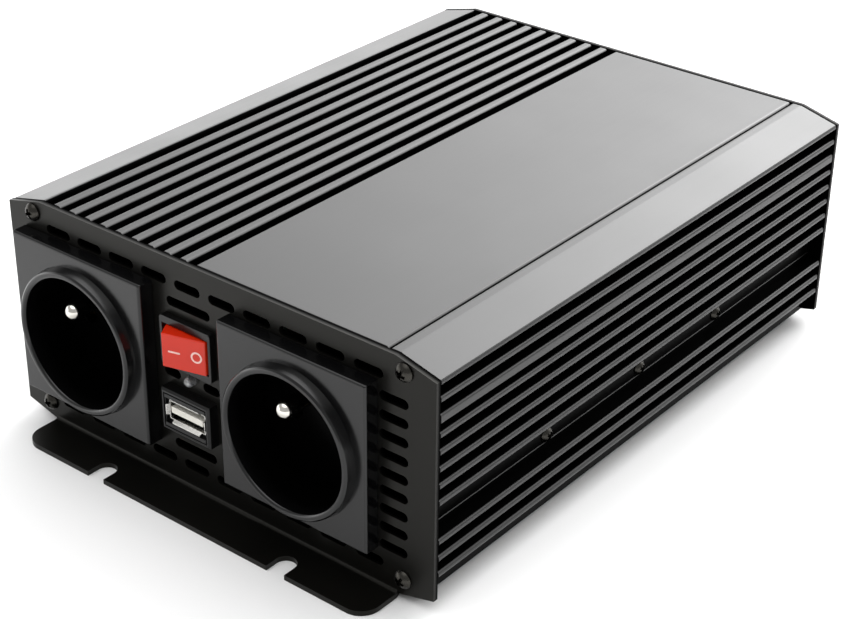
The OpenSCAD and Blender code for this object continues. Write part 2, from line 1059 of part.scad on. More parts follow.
// Earth screw with a nut and a plain washer outside the rear panel
module earth_terminal() {
    earth_x = (red_x + black_x) / 2;
    color("silver")
        placed() {
            rod_y(earth_x, rear_y - 6, 12, 2, 18);
            difference() {
                union() {
                    rod_y(earth_x, rear_y, 12, 5, 1);
                    translate([earth_x, rear_y + 1, 12])
                        rotate([-90, 0, 0])
                            cylinder(h = 3.2, r = 4.04, $fn = 6);
                    translate([earth_x, rear_y - sheet_t - 3.2, 12])
                        rotate([-90, 0, 0])
                            cylinder(h = 3.2, r = 4.04, $fn = 6);
                }
                rod_y(earth_x, rear_y - 10, 12, 1.9, 20);
            }
        }
}

// ---- Electronics ----

board_y0 = 34;
board_y1 = fan_y - 6;

module main_board() {
    color([0.05, 0.3, 0.12])
        placed()
            translate([-inner_x + 0.3, board_y0, board_z])
                cube([2 * inner_x - 0.6, board_y1 - board_y0, board_t]);
}

core_w = 36;
core_t = 14;
core_h = 34;
core_leg = 10;
core_window = (core_w - 2 * core_leg) / 2 - 2.5;
transformer_xs = [-38, 0, 38];
transformer_y = 108;

module transformer_cores() {
    color([0.2, 0.2, 0.2])
        placed()
            for (x = transformer_xs)
                translate([x - core_w / 2, transformer_y, board_top + 3])
                    difference() {
                        cube([core_w, core_t, core_h]);
                        for (side = [-1, 1])
                            translate([
                                core_w / 2 + side * (core_leg + core_window) / 2 - core_window / 2, -cut, 5
                            ])
                                cube([core_window, core_t + 2 * cut, core_h - 10]);
                    }
}

module transformer_windings() {
    color([0.8, 0.65, 0.2])
        placed()
            for (x = transformer_xs)
                translate([x, transformer_y + core_t / 2, board_top]) {
                    difference() {
                        translate([0, 0, core_h / 2 + 3])
                            cube([
                                core_leg + 2 * core_window - 0.3, core_t + 9, core_h - 10.4
                            ], center = true);
                        translate([0, 0, core_h / 2 + 3])
                            cube([core_leg + 0.3, core_t + 0.3, core_h], center = true);
                    }
                    // Bobbin feet that stand on the board
                    for (side = [-1, 1])
                        translate([-9, side * (core_t / 2 + 2.4) - 1.5, 0])
                            cube([18, 3, 8.3]);
                }
}

// Can with a rounded top rim
module capacitor(x, y, r, h) {
    translate([x, y, board_top])
        rotate_extrude()
            polygon([[0, 0], [r, 0], [r, h - 1], [r - 1, h], [r - 1.6, h], [r - 1.6, h - 0.5], [0, h - 0.5]]);
}

module input_capacitors() {
    color([0.1, 0.15, 0.35])
        placed()
            for (x = [-20, 0])
                for (y = [136, 156])
                    capacitor(x, y, 8, 31);
}

module output_capacitors() {
    color([0.1, 0.1, 0.12])
        placed()
            for (x = [-40, 40])
                capacitor(x, 84, 11, 40);
}

module output_choke() {
    color([0.75, 0.4, 0.15])
        placed()
            translate([-28, 58, board_top + 5.6])
                rotate_extrude()
                    translate([10.5, 0])
                        circle(5.5);
}

module blade_fuses() {
    color([0.9, 0.55, 0.1])
        placed()
            for (i = [0 : 3])
                translate([16 + i * 9, 134, board_top]) {
                    cube([5, 19, 9]);
                    translate([0.7, 1.5, 9])
                        cube([3.6, 16, 8]);
                }
}

module control_board() {
    color([0.05, 0.3, 0.12])
        placed() {
            translate([-8, 58, board_top])
                cube([34, 1.6, 26]);
            for (x = [-2, 14])
                translate([x - 4, 59.6, board_top + 8])
                    cube([8, 2.2, 12]);
        }
}

// Row of TO-220 transistors standing against one side wall
module transistors(side) {
    for (y = clamp_ys, step = [-1, 1])
        translate([side * inner_x, y + step * transistor_offset, 0])
            scale_side(side) {
                translate([-5, -5, 16])
                    cube([4.6, 10, 15]);
                translate([-1.7, -5, 31])
                    difference() {
                        cube([1.3, 10, 6]);
                        translate([-cut, 5, 3])
                            rotate([0, 90, 0])
                                cylinder(h = 4, r = 1.8);
                    }
                for (lead = [-2.54, 0, 2.54])
                    translate([-4.2, lead - 0.4, board_top])
                        cube([0.5, 0.8, 16 - board_top]);
            }
}

// Mirrors a shape that is drawn for the right-hand wall to the left-hand one
module scale_side(side) {
    mirror([side < 0 ? 1 : 0, 0, 0])
        children();
}

module insulating_pads(side) {
    for (y = clamp_ys, step = [-1, 1])
        translate([side * inner_x, y + step * transistor_offset, 0])
            scale_side(side)
                translate([-0.35, -6, 15])
                    cube([0.3, 12, 23]);
}

module clamp_bar(side) {
    scale_side(side)
        difference() {
            translate([inner_x - 5.1 - 3, clamp_ys[0] - 18, clamp_z - 5])
                cube([3, clamp_ys[2] - clamp_ys[0] + 36, 8]);
            for (y = clamp_ys)
                rod_x(inner_x - 12, y, clamp_z, 1.5, 10);
        }
}

module clamp_screws(side) {
    scale_side(side)
        for (y = clamp_ys)
            translate([wall_x, y, clamp_z])
                rotate([0, 0, 90])
                    rotate([0, 35, 0])
                        pan_screw(2.2, 1.5, 1.48, 13);
}

module left_transistors() {
    color([0.12, 0.12, 0.12])
        placed()
            transistors(-1);
}

module right_transistors() {
    color([0.12, 0.12, 0.12])
        placed()
            transistors(1);
}

module left_insulating_pads() {
    color([0.6, 0.65, 0.7])
        placed()
            insulating_pads(-1);
}

module right_insulating_pads() {
    color([0.6, 0.65, 0.7])
        placed()
            insulating_pads(1);
}

module left_clamp_bar() {
    color("silver")
        placed()
            clamp_bar(-1);
}

module right_clamp_bar() {
    color("silver")
        placed()
            clamp_bar(1);
}

module left_clamp_screws() {
    color("silver")
        placed()
            clamp_screws(-1);
}

module right_clamp_screws() {
    color("silver")
        placed()
            clamp_screws(1);
}

// ---- Wiring ----

// Lug on a stud and the heavy lead from it down to the board
module battery_lead(x) {
    lug_y = rear_y - 9.4;
    lug_t = 1.2;
    crimp_z = terminal_z - 16;
    difference() {
        union() {
            rod_y(x, lug_y, terminal_z, 7, lug_t);
            block(x, lug_y, terminal_z - 8.5, 7, lug_t, 15);
        }
        rod_y(x, lug_y - cut, terminal_z, stud_r + 0.05, 4);
    }
    wire(x, [
        [lug_y + lug_t / 2, crimp_z + 2.5], [lug_y + lug_t / 2, crimp_z - 4],
        [board_y1 - 6, board_top + 6], [board_y1 - 6, board_top + gap]
    ], 2.4);
}

module red_battery_lead() {
    color([0.7, 0.05, 0.05])
        placed()
            battery_lead(red_x);
}

module black_battery_lead() {
    color([0.08, 0.08, 0.08])
        placed()
            battery_lead(black_x);
}

// Live and neutral leads from the board into both sockets
module mains_wiring() {
    color([0.35, 0.2, 0.1])
        placed()
            for (x = [left_x, right_x], offset_x = [-8, 8])
                wire(x + offset_x, [
                    [24.6, socket_z - 12], [32, socket_z - 12],
                    [38, board_top + 5], [38, board_top + gap]
                ], 1.4);
}

// Earth leads from both sockets to the board
module earth_wiring() {
    color([0.5, 0.7, 0.1])
        placed()
            for (x = [left_x, right_x])
                wire(x, [
                    [24.6, socket_z - 12], [34, socket_z - 12],
                    [42, board_top + 5], [42, board_top + gap]
                ], 1.4);
}

// Thin leads to the switch, the USB board and the lamp
module signal_wiring() {
    color([0.75, 0.75, 0.7])
        placed() {
            for (offset_x = [-5.5, 5.5])
                wire(column_x + offset_x, [
                    [23.4, switch_z], [34, switch_z - 3], [50, board_top + 5], [50, board_top + gap]
                ], 0.8);
            for (offset_x = [-2, 2])
                wire(column_x + offset_x, [
                    [12.3, lamp_z], [30, lamp_z - 4], [46, board_top + 5], [46, board_top + gap]
                ], 0.5);
        }
}

top_cover();
bottom_tray();
front_panel();
rear_panel();
front_panel_screws();
rear_panel_screws();
left_socket_housing();
right_socket_housing();
left_socket_back();
right_socket_back();
left_earth_pin();
right_earth_pin();
left_socket_contacts();
right_socket_contacts();
left_retaining_ring();
right_retaining_ring();
switch_body();
switch_rocker();
switch_terminals();
status_lamp();
lamp_leads();
usb_bezel();
usb_shell();
usb_tongue();
usb_board();
fan_frame();
fan_rotor();
fan_screws();
red_terminal_base();
black_terminal_base();
red_terminal_stud();
black_terminal_stud();
red_washer();
black_washer();
red_knob();
black_knob();
terminal_nuts();
earth_terminal();
main_board();
transformer_cores();
transformer_windings();
input_capacitors();
output_capacitors();
output_choke();
blade_fuses();
control_board();
left_transistors();
right_transistors();
left_insulating_pads();
right_insulating_pads();
left_clamp_bar();
right_clamp_bar();
left_clamp_screws();
right_clamp_screws();
red_battery_lead();
black_battery_lead();
mains_wiring();
earth_wiring();
signal_wiring();
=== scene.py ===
import json
import math

import bmesh
import bpy
from mathutils import Matrix, Vector


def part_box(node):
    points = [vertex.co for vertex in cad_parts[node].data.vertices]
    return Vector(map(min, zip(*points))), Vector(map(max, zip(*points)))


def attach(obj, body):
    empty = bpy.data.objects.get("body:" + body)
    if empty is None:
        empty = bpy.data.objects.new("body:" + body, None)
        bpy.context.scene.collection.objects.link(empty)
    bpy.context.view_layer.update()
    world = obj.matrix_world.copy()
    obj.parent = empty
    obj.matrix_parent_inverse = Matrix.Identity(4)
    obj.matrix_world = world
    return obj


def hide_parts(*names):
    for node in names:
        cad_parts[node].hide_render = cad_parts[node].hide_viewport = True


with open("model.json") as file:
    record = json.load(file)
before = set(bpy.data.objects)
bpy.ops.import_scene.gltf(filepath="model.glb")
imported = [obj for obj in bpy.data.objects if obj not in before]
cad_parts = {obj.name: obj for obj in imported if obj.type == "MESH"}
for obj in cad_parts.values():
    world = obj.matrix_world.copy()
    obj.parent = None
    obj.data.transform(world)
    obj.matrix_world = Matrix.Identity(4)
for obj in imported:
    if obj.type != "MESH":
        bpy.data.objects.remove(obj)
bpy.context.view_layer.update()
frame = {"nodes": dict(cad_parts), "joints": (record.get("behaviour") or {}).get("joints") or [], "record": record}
NODES = frame["nodes"]


# ---- Sizes of the object that the frame's boxes don't give, in metres ----

MM = 0.001
# Sheet of the end panels, and the sloping strip along each top corner
SHEET_T = 1.5 * MM
STRIP_W, STRIP_DROP = 12.4 * MM, 3.1 * MM
# Just over the radius of a plug recess, and how far its earth pin is above the middle
RECESS_R, EARTH_PIN_UP = 19.3 * MM, 10 * MM
# Depth of the wide channel in each side, and how far its ridge is above the tray's underside
CHANNEL_DEPTH, RIDGE_UP = 4.5 * MM, 21.9 * MM
# Just above the case's flat underside, and where the underside ends at the open step
UNDERSIDE_Z, UNDERSIDE_ENDS = 1.7 * MM, (64 * MM, 66 * MM)
# The rocker's flat face: its distance from the pivot, and its lean about the vertical in degrees
ROCKER_FACE_OUT, ROCKER_LEAN = 6.4 * MM, 15.5
# How far a terminal's base stands out from the rear panel
TERMINAL_BASE_OUT = 7 * MM


# ---- Node helpers ----

MATERIALS = {}


class Graph:
    """A node tree with short ways to add and join nodes."""

    def __init__(self, tree):
        self.tree = tree

    def node(self, kind, inputs=None, **props):
        made = self.tree.nodes.new(kind)
        for key, value in props.items():
            setattr(made, key, value)
        for key, value in (inputs or {}).items():
            self.put(made.inputs[key], value)
        return made

    def put(self, socket, value):
        if isinstance(value, bpy.types.NodeSocket):
            self.tree.links.new(value, socket)
        else:
            socket.default_value = value

    def ramp(self, fac, low, high, a, b):
        return self.node("ShaderNodeMapRange", {
            "Value": fac, "From Min": low, "From Max": high, "To Min": a, "To Max": b}).outputs[0]

    def math(self, op, first, *others):
        """A maths node, or a row of them when there are more than two values."""
        for other in others or (0.0,):
            first = self.node("ShaderNodeMath", {0: first, 1: other}, operation=op).outputs[0]
        return first

    def length(self, a, b):
        return self.math("SQRT", self.math("ADD", self.math("MULTIPLY", a, a), self.math("MULTIPLY", b, b)))

    def split(self, vector):
        return self.node("ShaderNodeSeparateXYZ", {"Vector": vector}).outputs


class Mat(Graph):
    """A material with its surface shader and object coordinates at hand."""

    def __init__(self, name):
        self.mat = bpy.data.materials.new(name)
        self.mat.use_nodes = True
        super().__init__(self.mat.node_tree)
        self.bsdf = self.tree.nodes["Principled BSDF"]
        self.coord = self.tree.nodes.new("ShaderNodeTexCoord").outputs["Object"]
        MATERIALS[name] = self.mat

    def set(self, **values):
        for key, value in values.items():
            self.put(self.bsdf.inputs[key.replace("_", " ")], value)

    def noise(self, scale, detail=4.0, rough=0.55, stretch=None):
        vector = self.coord
        if stretch:
            vector = self.node("ShaderNodeMapping", {"Vector": vector, "Scale": stretch}).outputs[0]
        return self.node("ShaderNodeTexNoise", {
            "Vector": vector, "Scale": scale, "Detail": detail, "Roughness": rough}).outputs[0]

    def mix(self, fac, a, b):
        return self.node("ShaderNodeMix", {0: fac, 6: a, 7: b}, data_type="RGBA").outputs[2]

    def bump(self, height, distance, strength=1.0):
        return self.node("ShaderNodeBump", {
            "Height": height, "Distance": distance, "Strength": strength}).outputs[0]

    def edges(self, radius):
        """1 on convex and concave edges, 0 on flats."""
        soft = self.node("ShaderNodeBevel", {"Radius": radius}, samples=6).outputs[0]
        flat = self.node("ShaderNodeNewGeometry").outputs["Normal"]
        dot = self.node("ShaderNodeVectorMath", {0: soft, 1: flat}, operation="DOT_PRODUCT")
        return self.ramp(dot.outputs["Value"], 0.99, 0.85, 0.0, 1.0)


def rgb(r, g, b):
    return (r, g, b, 1.0)


def grey(value):
    return rgb(value, value, value)


# ---- How deep a point lies in the object, which sets the painted shade ----

def below_skin(m):
    """Distance in from the case's outline: its sides, top, flat underside and sloping strips; it sets the case's
    painted shade.
    """
    x, _, z = m.split(m.coord)
    x = m.math("ABSOLUTE", x)
    side, _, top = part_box("front_panel")[1]
    slope = Vector((STRIP_DROP, STRIP_W)).normalized()
    reach = m.math("ADD", m.math("MULTIPLY", x, slope[0]), m.math("MULTIPLY", z, slope[1]))
    from_strip = m.math("SUBTRACT", slope.dot(Vector((side, top - STRIP_DROP))), reach)
    # The sides count as a little deeper than they are, so they get more painted shade than the top
    from_side = m.math("SUBTRACT", side + 0.38 * MM, x)
    from_top = m.math("SUBTRACT", top, z)
    # Past the flat underside a metre is added, so that the open step there counts as deep and gets full painted
    # shade
    past_underside = m.ramp(x, *UNDERSIDE_ENDS, 0.0, 1.0)
    from_below = m.math("SUBTRACT", m.math("ADD", z, past_underside), UNDERSIDE_Z)
    return m.math("MINIMUM", from_side, from_top, from_strip, from_below)


def inside_recess(m):
    """How deep a point lies in either plug recess, scaled down for a slow change of shade; 0 outside."""
    x, y, z = m.split(m.coord)
    found = 0.0
    for name in ("left_earth_pin", "right_earth_pin"):
        low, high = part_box(name)
        across = m.math("SUBTRACT", x, (low[0] + high[0]) / 2)
        above = m.math("SUBTRACT", z, (low[2] + high[2]) / 2 - EARTH_PIN_UP)
        found = m.math("MAXIMUM", found, m.math("LESS_THAN", m.length(across, above), RECESS_R))
    past_rim = m.math("SUBTRACT", y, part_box("left_socket_housing")[0][1])
    return m.math("MULTIPLY", found, past_rim, 0.2)


def into_sheet(m):
    """Distance in from the outer face of the front or rear panel; negative on the flanges. It sets painted shade
    on the sheets' cut edges, darker further in from the outer face.
    """
    y = m.split(m.coord)[1]
    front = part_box("front_panel")[1][1] - SHEET_T
    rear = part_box("rear_panel")[0][1] + SHEET_T
    return m.math("MINIMUM", m.math("SUBTRACT", y, front), m.math("SUBTRACT", rear, y))


# ---- Materials; those of the CAD pieces have the names of the part's material slots ----

def coated(name, dark, light, rough, grain_mm, grain_depth_mm, specular=0.5,
           edge_wear_and_highlight=None, lines=None, depth=None, tint=None):
    """Paint, anodising or moulded plastic: mottled colour, uneven gloss, grain bump and worn edges with a painted
    highlight.

    edge_wear_and_highlight is the colour of worn edges, lightened partly as a painted highlight, and lines
    stretches fine drawn lines along the surface.
    depth is a function that adds nodes for how deep a point lies; deep places get painted shade, darker and less
    glossy.
    """
    m = Mat(name)
    broad = m.noise(28.0, 3.0)
    height = m.noise(1.0 / (grain_mm * MM), 3.0, 0.6)
    color = m.mix(m.ramp(broad, 0.3, 0.7, 0.0, 1.0), dark, light)
    uneven = m.ramp(broad, 0.3, 0.7, rough - 0.02, rough + 0.02)
    if lines:
        drawn = m.noise(1.0, 5.0, 0.6, stretch=lines)
        uneven = m.math("ADD", uneven, m.ramp(drawn, 0.35, 0.65, -0.006, 0.006))
        height = m.math("ADD", height, m.math("MULTIPLY", drawn, 0.12))
    # Edges lighter in patches: partly worn, partly a painted highlight
    if edge_wear_and_highlight:
        worn_and_highlit_edges = m.math("MULTIPLY", m.edges(0.35 * MM), m.ramp(m.noise(420.0), 0.38, 0.66, 0.0, 0.2))
        color = m.mix(worn_and_highlit_edges, color, edge_wear_and_highlight)
    # Painted shade: deep places are mixed towards near black and lose most of their gloss.
    if depth:
        free_of_painted_shade = m.ramp(depth(m), 0.08 * MM, 1.1 * MM, 1.0, 0.04)
        color = m.mix(free_of_painted_shade, grey(0.0006), color)
        specular = m.math("MULTIPLY", free_of_painted_shade, specular)
    m.set(Base_Color=color, Roughness=uneven, Specular_IOR_Level=specular,
          Normal=m.bump(height, grain_depth_mm * MM))
    if tint:
        m.set(Specular_Tint=tint)


def bare_metal(name, base, rough, tarnish=None):
    """Bare or plated metal with fine marks from turning or rolling."""
    m = Mat(name)
    drawn = m.noise(8.0, 6.0, 0.65, stretch=(400.0, 400.0, 40.0))
    tarnish = tarnish or rgb(*(0.6 * c for c in base[:3]))
    color = m.mix(m.ramp(m.noise(220.0, 4.0), 0.42, 0.72, 0.0, 0.5), base, tarnish)
    m.set(Base_Color=color, Metallic=1.0, Roughness=m.ramp(drawn, 0.3, 0.7, rough - 0.06, rough + 0.08),
          Normal=m.bump(drawn, 0.01 * MM, 0.6))


def printed(name, full, thin):
    """Printed ink, thinner in specks."""
    m = Mat(name)
    speck = m.noise(2600.0, 3.0)
    m.set(Base_Color=m.mix(m.ramp(speck, 0.35, 0.7, 0.0, 1.0), full, thin),
          Roughness=m.ramp(speck, 0.3, 0.7, 0.38, 0.5), Normal=m.bump(speck, 0.01 * MM, 0.5))


def clear_lamp(name):
    """Clear plastic lens with a slight haze."""
    m = Mat(name)
    haze = m.noise(900.0, 3.0)
    m.set(Base_Color=m.mix(m.ramp(haze, 0.3, 0.7, 0.0, 1.0), rgb(0.82, 0.84, 0.85), rgb(0.9, 0.91, 0.92)),
          Roughness=m.ramp(haze, 0.3, 0.7, 0.04, 0.12), Transmission_Weight=0.85, IOR=1.52,
          Normal=m.bump(haze, 0.01 * MM, 0.3))


def tin_shell(name):
    """Tin plate that is bright at the mouth, with painted shade that makes it dark further in."""
    m = Mat(name)
    stain = m.noise(900.0, 4.0)
    mouth_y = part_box("usb_shell")[0][1]
    # Painted shade: the shell turns near black from just inside the mouth
    painted_shade_in_shell = m.ramp(m.split(m.coord)[1], mouth_y + 0.9 * MM, mouth_y + 2.2 * MM, 0.0, 1.0)
    plated = m.mix(m.ramp(stain, 0.4, 0.7, 0.0, 0.5), rgb(0.66, 0.65, 0.62), rgb(0.40, 0.39, 0.37))
    m.set(Base_Color=m.mix(painted_shade_in_shell, plated, grey(0.02)), Metallic=1.0,
          Roughness=m.ramp(stain, 0.3, 0.7, 0.20, 0.32), Normal=m.bump(stain, 0.01 * MM, 0.5))


def pale_floor(name):
    """Pale matt floor, very slightly cloudy."""
    m = Mat(name)
    cloudy = m.noise(3.0, 3.0)
    m.set(Base_Color=m.mix(m.ramp(cloudy, 0.3, 0.7, 0.0, 1.0), grey(0.84), grey(0.86)),
          Roughness=0.7, Normal=m.bump(m.noise(900.0), 0.02 * MM, 0.3))


# The case: painted shade in grooves, channels and the open step, more on the sides than on the top
coated("anodised_case", rgb(0.0024, 0.0024, 0.0026), rgb(0.0036, 0.0036, 0.0038), 0.33, 0.35, 0.004,
       specular=0.72, edge_wear_and_highlight=grey(0.05), lines=(900.0, 12.0, 900.0), depth=below_skin)
# The panels: painted shade on the sheets' cut edges, a dark line where they meet the case
coated("panel_paint", rgb(0.0022, 0.0021, 0.0018), rgb(0.0034, 0.0032, 0.0027), 0.32, 0.5, 0.008,
       specular=0.19, edge_wear_and_highlight=rgb(0.03, 0.03, 0.027), depth=into_sheet, tint=rgb(1.0, 0.985, 0.90))
# The socket plastic: painted shade deeper in the plug recesses
coated("socket_plastic", rgb(0.0020, 0.0020, 0.0022), rgb(0.0032, 0.0032, 0.0034), 0.20, 0.3, 0.001,
       specular=0.44, depth=inside_recess)
coated("switch_black", grey(0.0024), grey(0.0038), 0.28, 0.2, 0.003, specular=0.36)
coated("channel_ridge", grey(0.010), grey(0.016), 0.36, 0.3, 0.003)
coated("rocker_red", rgb(0.54, 0.014, 0.001), rgb(0.60, 0.022, 0.002), 0.22, 0.5, 0.003, specular=0.4)
coated("red_plastic", rgb(0.40, 0.012, 0.010), rgb(0.48, 0.020, 0.015), 0.30, 0.4, 0.006)
coated("black_plastic", grey(0.007), grey(0.012), 0.30, 0.4, 0.006)
coated("fan_black", grey(0.008), grey(0.013), 0.40, 0.3, 0.008)
coated("usb_white", rgb(0.72, 0.70, 0.62), rgb(0.78, 0.76, 0.70), 0.35, 0.2, 0.003)
coated("board_green", rgb(0.012, 0.09, 0.035), rgb(0.018, 0.13, 0.05), 0.35, 0.8, 0.004)
coated("ferrite", rgb(0.03, 0.03, 0.032), rgb(0.05, 0.05, 0.052), 0.6, 0.3, 0.02)
coated("winding_tape", rgb(0.62, 0.40, 0.05), rgb(0.70, 0.48, 0.08), 0.35, 1.2, 0.01)
coated("capacitor_sleeve", rgb(0.015, 0.03, 0.14), rgb(0.02, 0.04, 0.18), 0.3, 1.5, 0.01)
coated("fuse_plastic", rgb(0.75, 0.28, 0.02), rgb(0.82, 0.34, 0.03), 0.2, 0.5, 0.003)
coated("chip_black", grey(0.02), grey(0.03), 0.5, 0.2, 0.01)
coated("pad_grey", rgb(0.30, 0.33, 0.37), rgb(0.36, 0.39, 0.43), 0.7, 0.4, 0.01)
coated("wire_brown", rgb(0.10, 0.035, 0.012), rgb(0.13, 0.045, 0.016), 0.4, 0.6, 0.006)
coated("wire_green_yellow", rgb(0.30, 0.42, 0.02), rgb(0.40, 0.50, 0.03), 0.4, 0.6, 0.006)
coated("wire_white", rgb(0.6, 0.6, 0.56), rgb(0.68, 0.68, 0.64), 0.4, 0.6, 0.006)
bare_metal("dark_screw", rgb(0.046, 0.044, 0.039), 0.27, tarnish=rgb(0.016, 0.015, 0.013))
bare_metal("nickel_plate", rgb(0.72, 0.70, 0.65), 0.14, tarnish=rgb(0.52, 0.50, 0.45))
bare_metal("tin_plate", rgb(0.74, 0.73, 0.70), 0.24)
bare_metal("spring_steel", grey(0.5), 0.35)
bare_metal("brass", rgb(0.72, 0.52, 0.22), 0.26, tarnish=rgb(0.5, 0.34, 0.13))
bare_metal("copper_wire", rgb(0.65, 0.24, 0.10), 0.3)
printed("rocker_print", rgb(0.80, 0.60, 0.55), rgb(0.70, 0.42, 0.36))
printed("panel_print", rgb(0.62, 0.62, 0.60), rgb(0.45, 0.45, 0.44))
clear_lamp("lamp_clear")
tin_shell("tin_shell")
pale_floor("pale_floor")


# ---- Edges and shading of the CAD pieces ----

def geometry_tree(name):
    """A geometry node group with one geometry socket in and one out."""
    tree = bpy.data.node_groups.new(name, "GeometryNodeTree")
    for way in ("INPUT", "OUTPUT"):
        tree.interface.new_socket("Geometry", in_out=way, socket_type="NodeSocketGeometry")
    g = Graph(tree)
    return g, g.node("NodeGroupInput"), g.node("NodeGroupOutput")


def smooth_group():
    """Geometry nodes that shade smoothly across edges flatter than an angle."""
    g, start, end = geometry_tree("smooth_by_angle")
    bend = g.node("GeometryNodeInputMeshEdgeAngle").outputs[0]
    sharp = g.node("FunctionNodeCompare", {0: bend, 1: math.radians(32)},
                   data_type="FLOAT", operation="GREATER_THAN")
    faces = g.node("GeometryNodeSetShadeSmooth", {0: start.outputs[0], "Shade Smooth": True}, domain="FACE")
    edges = g.node("GeometryNodeSetShadeSmooth", {
        0: faces.outputs[0], "Selection": sharp.outputs[0], "Shade Smooth": False}, domain="EDGE")
    g.put(end.inputs[0], edges.outputs[0])
    return g.tree


def weight_group(name, rule):
    """Geometry nodes that store how strongly the bevel modifier rounds each edge."""
    g, start, end = geometry_tree(name)
    bend = g.node("GeometryNodeInputMeshEdgeAngle").outputs["Signed Angle"]
    store = g.node("GeometryNodeStoreNamedAttribute", data_type="FLOAT", domain="EDGE")
    g.put(store.inputs["Geometry"], start.outputs[0])
    g.put(store.inputs["Name"], "bevel_weight_edge")
    g.put(store.inputs["Value"], rule(g, bend))
    g.put(end.inputs[0], store.outputs[0])
    return g.tree


def outward_edges(g, bend):
    return g.math("GREATER_THAN", bend, math.radians(38))


def case_edges(g, bend):
    """Fins are well rounded along their length, the shallow creases and the cut ends only a little."""
    x, y, z = g.split(g.node("GeometryNodeInputPosition").outputs[0])
    low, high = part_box("bottom_tray")
    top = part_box("top_cover")[1][2]
    half_length = (high[1] - low[1]) / 2
    from_middle = g.math("ABSOLUTE", g.math("SUBTRACT", y, (low[1] + high[1]) / 2))
    along = g.ramp(from_middle, half_length - 0.2 * MM, half_length - 0.1 * MM, 1.0, 0.25)
    on_side = g.math("GREATER_THAN", g.math("ABSOLUTE", x), high[0] - 4 * MM)
    # The strip between the left crease and the first groove is too narrow for a full round
    past_strip = g.ramp(x, low[0] + 13.2 * MM, low[0] + 13.3 * MM, 0.25, 1.0)
    on_top = g.math("MULTIPLY", g.math("GREATER_THAN", z, top - 0.1 * MM), past_strip)
    square = outward_edges(g, bend)
    shallow = g.math("SUBTRACT", g.math("GREATER_THAN", bend, math.radians(9)), square)
    full = g.math("MULTIPLY", square, along, g.math("MAXIMUM", on_side, on_top))
    return g.math("ADD", full, g.math("MULTIPLY", shallow, 0.3))


SMOOTH = smooth_group()
OUTWARD = weight_group("outward_edges", outward_edges)
CASE = weight_group("case_edges", case_edges)


def soften(obj, width_mm, weights=OUTWARD, segments=3):
    """Small round outward edges. Flat faces are merged first, so that the rounding runs evenly."""
    weld = obj.modifiers.new("weld", "WELD")
    weld.merge_threshold = 0.002 * MM
    flat = obj.modifiers.new("merge_flats", "DECIMATE")
    flat.decimate_type, flat.angle_limit = "DISSOLVE", math.radians(0.4)
    if width_mm:
        obj.modifiers.new("weights", "NODES").node_group = weights
        bevel = obj.modifiers.new("round_edges", "BEVEL")
        bevel.width, bevel.segments = width_mm * MM, segments
        bevel.limit_method = "WEIGHT"
        bevel.use_clamp_overlap, bevel.miter_outer = True, "MITER_ARC"
    obj.modifiers.new("shade", "NODES").node_group = SMOOTH
    if width_mm:
        obj.modifiers.new("keep_flats_flat", "WEIGHTED_NORMAL").keep_sharp = True


CASE_EDGE_MM = 0.8
EDGE_MM = {
    "front_panel": 0.16, "rear_panel": 0.16, "left_socket_housing": 0.3, "right_socket_housing": 0.3,
    "switch_body": 0.25, "switch_rocker": 0.35, "usb_bezel": 0.1, "usb_shell": 0.08, "usb_tongue": 0.1,
    "red_knob": 0.25, "black_knob": 0.25, "red_terminal_base": 0.3, "black_terminal_base": 0.3,
    "fan_frame": 0.3, "fan_rotor": 0.2, "earth_terminal": 0.15, "red_washer": 0.15, "black_washer": 0.15,
}

slots = {part["node"]: part["material_slot"] for part in frame["record"]["subparts"]}
for name, obj in NODES.items():
    material = MATERIALS[slots[name]]
    if obj.material_slots:
        for place in obj.material_slots:
            place.material = material
    else:
        obj.data.materials.append(material)
    if name in ("top_cover", "bottom_tray"):
        soften(obj, CASE_EDGE_MM, CASE, 5)
    else:
        soften(obj, EDGE_MM.get(name, 0.0))


# ---- Shapes for the pieces added here: X-Z outlines that run along Y ----

def circle(r, steps=64):
    turns = [2 * math.pi * i / steps for i in range(steps)]
    return [(r * math.cos(a), r * math.sin(a)) for a in turns]


def rounded(half_x, half_z, r, steps=5):
    """Outline of a rectangle with round corners."""
    corners = [(1, 1, 0), (-1, 1, 90), (-1, -1, 180), (1, -1, 270)]
    return [(sx * (half_x - r) + r * math.cos(math.radians(start + 90 * i / steps)),
             sz * (half_z - r) + r * math.sin(math.radians(start + 90 * i / steps)))
            for sx, sz, start in corners for i in range(steps + 1)]


def round_ended(length, width, steps=10):
    """Outline of a bar with round ends, lying along X."""
    turns = [math.pi * i / steps - math.pi / 2 for i in range(steps + 1)]
    return [(side * ((length - width) / 2 + width / 2 * math.cos(a)), side * width / 2 * math.sin(a))
            for side in (1, -1) for a in turns]


def join_rings(work, first, second):
    """Band of faces between two rings of vertices."""
    for i in range(len(first)):
        k = (i + 1) % len(first)
        work.faces.new((first[i], first[k], second[k], second[i]))


def cap_and_join(work, first, second):
    """Solid between two rings of vertices."""
    work.faces.new(first)
    work.faces.new(second[::-1])
    join_rings(work, first, second)


def prism(work, outline, y0, y1):
    """Solid with one outline from y0 to y1."""
    first, second = ([work.verts.new((x, y, z)) for x, z in outline] for y in (y0, y1))
    cap_and_join(work, first, second)


def tube(work, outer, inner, y0, y1):
    """Wall between two outlines with the same number of points, from y0 to y1."""
    rings = [[work.verts.new((x, y, z)) for x, z in outline] for y in (y0, y1) for outline in (outer, inner)]
    front_out, front_in, back_out, back_in = rings
    for a, b in ((front_out, front_in), (back_out, back_in), (front_out, back_out), (front_in, back_in)):
        join_rings(work, a, b)


